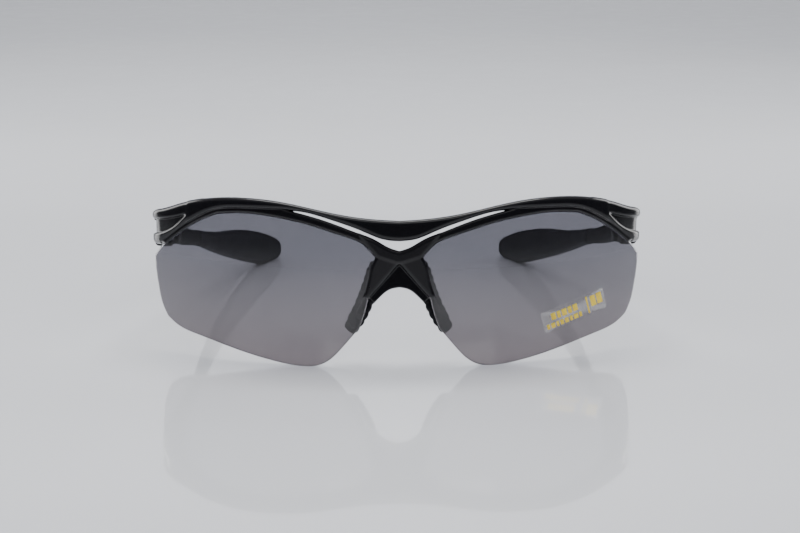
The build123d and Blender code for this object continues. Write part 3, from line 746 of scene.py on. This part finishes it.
def film():
    """Clear label film, cloudier and rougher than the lens under it, with stronger highlights."""
    new, tree, shader = material("label_film")
    shader.inputs["Base Color"].default_value = (0.92, 0.92, 0.9, 1)
    cloud = spread(tree, noise(tree, 500, 3), 0.13, 0.22)
    tree.links.new(cloud, shader.inputs["Alpha"])
    tree.links.new(spread(tree, noise(tree, 800, 2), 0.12, 0.26), shader.inputs["Roughness"])
    return new


def ink():
    """Yellow print on the film, slightly broken where the ink is thin."""
    new, tree, shader = material("label_ink")
    thin = spread(tree, noise(tree, 1800, 3), 0.0, 1.0)
    tree.links.new(mixed(tree, thin, (0.93, 0.64, 0.02), (0.98, 0.74, 0.06)), shader.inputs["Base Color"])
    tree.links.new(spread(tree, noise(tree, 2600, 2), 0.85, 1.0, 0.25, 0.45), shader.inputs["Alpha"])
    shader.inputs["Roughness"].default_value = 0.45
    return new


# ---- the label --------------------------------------------------------------------------
# Rows of the print, as the row's middle height, the blocks' height, the row's start and their lengths.
PRINT_ROWS = [
    (1.05, 2.3, -7.4, (1.5, 1.1, 1.6, 1.2, 1.5)),
    (-1.9, 1.7, -9.4, (0.9, 1.3, 0.8, 1.1, 1.2, 0.9, 1.4, 0.8)),
]
PRINT_GAP = 0.45
# The other blocks, as the middle along the label and up it, the length and the height.
PRINT_BAR = (4.6, 0.0, 0.5, 5.9)
PRINT_SQUARES = [(6.6, 0.7, 1.7, 3.6), (8.7, 0.7, 1.7, 3.6)]
PRINT_HEIGHTS = (LABEL_GAP + LABEL_T + 0.004, LABEL_GAP + LABEL_T + 0.02)  # above the lens
PRINT_CORNER = 0.15


def label_sheet(name, centre, size, low, high, corner):
    """A rounded sheet that lies along the lens between two heights above it. centre and size are
    on the label: along its length, and up."""
    rim = []
    half_u, half_v = size[0] / 2 - corner, size[1] / 2 - corner
    corners = [(half_u, half_v), (-half_u, half_v), (-half_u, -half_v), (half_u, -half_v)]
    for quarter, (u, v) in enumerate(corners):
        for turn in np.linspace(0, math.pi / 2, 6):
            angle = quarter * math.pi / 2 + turn
            rim.append((u + corner * math.cos(angle), v + corner * math.sin(angle)))
    scales = np.linspace(1, 0.1, 10)
    tilt = math.radians(LABEL_TILT)
    points = []
    for height in (high, low):
        for scale in scales:
            for u, v in rim:
                u, v = centre[0] + u * scale, centre[1] + v * scale
                x = LABEL_AT[0] + u * math.cos(tilt) - v * math.sin(tilt)
                z = LABEL_AT[1] + u * math.sin(tilt) + v * math.cos(tilt)
                points.append((x, float(lens_front_y(x, z, height)), z))
    count, rings = len(rim), len(scales)
    faces = []
    for side in range(2):
        start = side * rings * count
        for ring in range(rings - 1):
            for i in range(count):
                j = (i + 1) % count
                a, b = start + ring * count, start + (ring + 1) * count
                quad = [a + i, a + j, b + j, b + i]
                faces.append(quad if side else quad[::-1])
        last = [start + (rings - 1) * count + i for i in range(count)]
        faces.append(last if side else last[::-1])
    for i in range(count):
        j = (i + 1) % count
        faces.append([i, j, rings * count + j, rings * count + i])
    return made(name, points, faces)


def label(film_look, ink_look):
    """The clear film, with plain blocks in place of its print."""
    sheet = label_sheet("label_film", (0, 0), LABEL_SIZE, LABEL_GAP, LABEL_GAP + LABEL_T, LABEL_CORNER)
    sheet.data.materials.append(film_look)
    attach(sheet, "front")
    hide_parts("lens_label")
    blocks = []
    for row_v, height, start_u, lengths in PRINT_ROWS:
        u = start_u
        for length in lengths:
            blocks.append((u + length / 2, row_v, length, height))
            u += length + PRINT_GAP
    blocks += [PRINT_BAR, *PRINT_SQUARES]
    prints = [
        label_sheet("ink", (u, v), (length, height), *PRINT_HEIGHTS, PRINT_CORNER)
        for u, v, length, height in blocks
    ]
    bpy.ops.object.select_all(action="DESELECT")
    for piece in prints:
        piece.select_set(True)
    bpy.context.view_layer.objects.active = prints[0]
    bpy.ops.object.join()
    prints[0].name = "label_print"
    prints[0].data.materials.append(ink_look)
    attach(prints[0], "front")


# ---- the pieces -------------------------------------------------------------------------
def pair(name, field_of, low, high, cell, look, bodies):
    """A piece for each side. name is the node's name without its side."""
    left = meshed(field_of, low, high, cell)
    for side, body, mesh in (("left", bodies[0], left), ("right", bodies[1], flipped(*left))):
        piece = made(f"{name}_{side}_piece", *mesh)
        finish_piece(piece, body, look, f"{name}_{side}")


def build():
    """Every piece, with its look."""
    black, satin = nylon("frame_nylon", 1.0), nylon("temple_nylon", 0.0)
    both = ("front", "front")
    temples = ("temple_left", "temple_right")
    low, high = (-2 * FINE, -3.2, -12.2), (END_X + 1, HINGE_Y + KNUCKLE_R + 1, 27.6)
    front = whole(*meshed(front_field, low, high, FINE), FINE)
    finish_piece(made("front_piece", *front), "front", black, "front_frame")
    pair("lens", lens_field, (4, -1, REST_Z - 1), (76.5, 26, 25), FINE * 1.3,
         polycarbonate(), both)
    pad_look = rubber("pad_rubber", (0.004, 0.004, 0.006), (0.008, 0.008, 0.011), 2600, 0.62)
    pair("nose_pad", pad_field, (2, 1, -17), (19, 13, 8), FINE * 0.6, pad_look, both)
    low, high = (65, TEMPLE_FRONT_Y - PAST, -5), (END_X + 1, GRIP_START_Y + 1, HINGE_LEVELS[1] + 1)
    pair("temple", arm_field, low, high, FINE, satin, temples)
    tip_look = rubber("tip_rubber", (0.006, 0.006, 0.009), (0.011, 0.011, 0.015), 2200, 0.5)
    pair("temple_tip", tip_field, (41, GRIP_START_Y - 1, REST_Z - 1), (71, TIP_END_Y + 1, 4),
         FINE, tip_look, temples)
    near, far = (HINGE_X - 2, HINGE_Y - 2), (HINGE_X + 2, HINGE_Y + 2)
    pair("hinge_screw", screw_field, (*near, LOW_KNUCKLE[0] - 0.5), (*far, HIGH_KNUCKLE[1] + 0.5), 0.08,
         metal("screw_steel", (0.56, 0.57, 0.58), 2500), both)
    pair("hinge_insert", insert_field, (*near, LOW_KNUCKLE[0] - 0.5), (*far, LOW_KNUCKLE[1] + 0.5), 0.08,
         metal("insert_brass", (0.72, 0.52, 0.22), 2500), both)
    label(film(), ink())


# ---- stage, light and camera ------------------------------------------------------------
def floor_and_backdrop():
    """A pale floor that curves up behind, glossy under the glasses and dull farther off."""
    profile = [(-1.2, 0.0), (1.6, 0.0)]
    for turn in np.linspace(0, math.pi / 2, 12)[1:]:
        profile.append((1.6 + 0.6 * math.sin(turn), 0.6 - 0.6 * math.cos(turn)))
    profile.append((2.2, 2.4))
    level = REST_Z * MM
    points = [(x, y, level + z) for y, z in profile for x in (-3.0, 3.0)]
    faces = [(2 * i, 2 * i + 1, 2 * i + 3, 2 * i + 2) for i in range(len(profile) - 1)]
    floor = made("floor", np.array(points) / MM, faces)
    new, tree, shader = material("pale_floor")
    cloud = spread(tree, noise(tree, 3, 2), 0.0, 1.0)
    tree.links.new(mixed(tree, cloud, (0.66, 0.67, 0.70), (0.69, 0.70, 0.73)), shader.inputs["Base Color"])
    tree.links.new(spread(tree, noise(tree, 60, 3), 0.10, 0.15), shader.inputs["Roughness"])
    place = node(tree, "ShaderNodeSeparateXYZ")
    tree.links.new(node(tree, "ShaderNodeTexCoord").outputs["Object"], place.inputs[0])
    tree.links.new(spread(tree, place.outputs["Y"], 1.0, 0.0, 0.12, 0.75), shader.inputs["Coat Weight"])
    shader.inputs["Coat IOR"].default_value = 2.5
    shader.inputs["Coat Roughness"].default_value = 0.035
    floor.data.materials.append(new)


def area_light(name, place, target, size, power):
    """A rectangular soft light that faces a target."""
    light = bpy.data.lights.new(name, "AREA")
    light.shape = "RECTANGLE"
    light.size, light.size_y = size
    light.energy = power
    lamp = bpy.data.objects.new(name, light)
    lamp.location = place
    lamp.rotation_euler = (Vector(target) - Vector(place)).to_track_quat("-Z", "Y").to_euler()
    bpy.context.scene.collection.objects.link(lamp)


def light_scene():
    """Plain soft studio light, brighter from above."""
    world = bpy.data.worlds.new("studio")
    bpy.context.scene.world = world
    world.use_nodes = True
    tree = world.node_tree
    height = node(tree, "ShaderNodeSeparateXYZ")
    tree.links.new(node(tree, "ShaderNodeTexCoord").outputs["Generated"], height.inputs[0])
    zenith = spread(tree, height.outputs["Z"], 0.0, 1.0, 0.25, 0.85)
    sky = mixed(tree, zenith, (0.16, 0.165, 0.18), (0.95, 0.97, 1.02))
    tree.links.new(sky, tree.nodes["Background"].inputs["Color"])
    tree.nodes["Background"].inputs["Strength"].default_value = 0.7
    middle = (0, 0.04, 0.0)
    area_light("top_softbox", (0.0, 0.15, 0.95), middle, (0.8, 0.45), 12)
    for side in (-1, 1):
        area_light("side_strip", (side * 0.62, 0.30, 0.22), middle, (0.35, 0.6), 5)
    area_light("front_fill", (0.1, -0.75, 0.85), middle, (0.7, 0.4), 2)
    area_light("backdrop_wash", (0.0, 1.3, 1.3), (0.0, 2.0, 0.1), (2.4, 0.5), 10)


def place_camera():
    """The camera, from in front and a little above."""
    camera = bpy.data.objects.new("camera", bpy.data.cameras.new("camera"))
    camera.data.lens = 65.8
    camera.data.clip_start = 0.01
    camera.location = (-0.0110, -0.420, 0.1170)
    camera.rotation_euler = Euler((math.radians(90 - 14.68), math.radians(-0.1), math.radians(-1.5)), "XYZ")
    bpy.context.scene.collection.objects.link(camera)
    bpy.context.scene.camera = camera


build()
floor_and_backdrop()
light_scene()
place_camera()
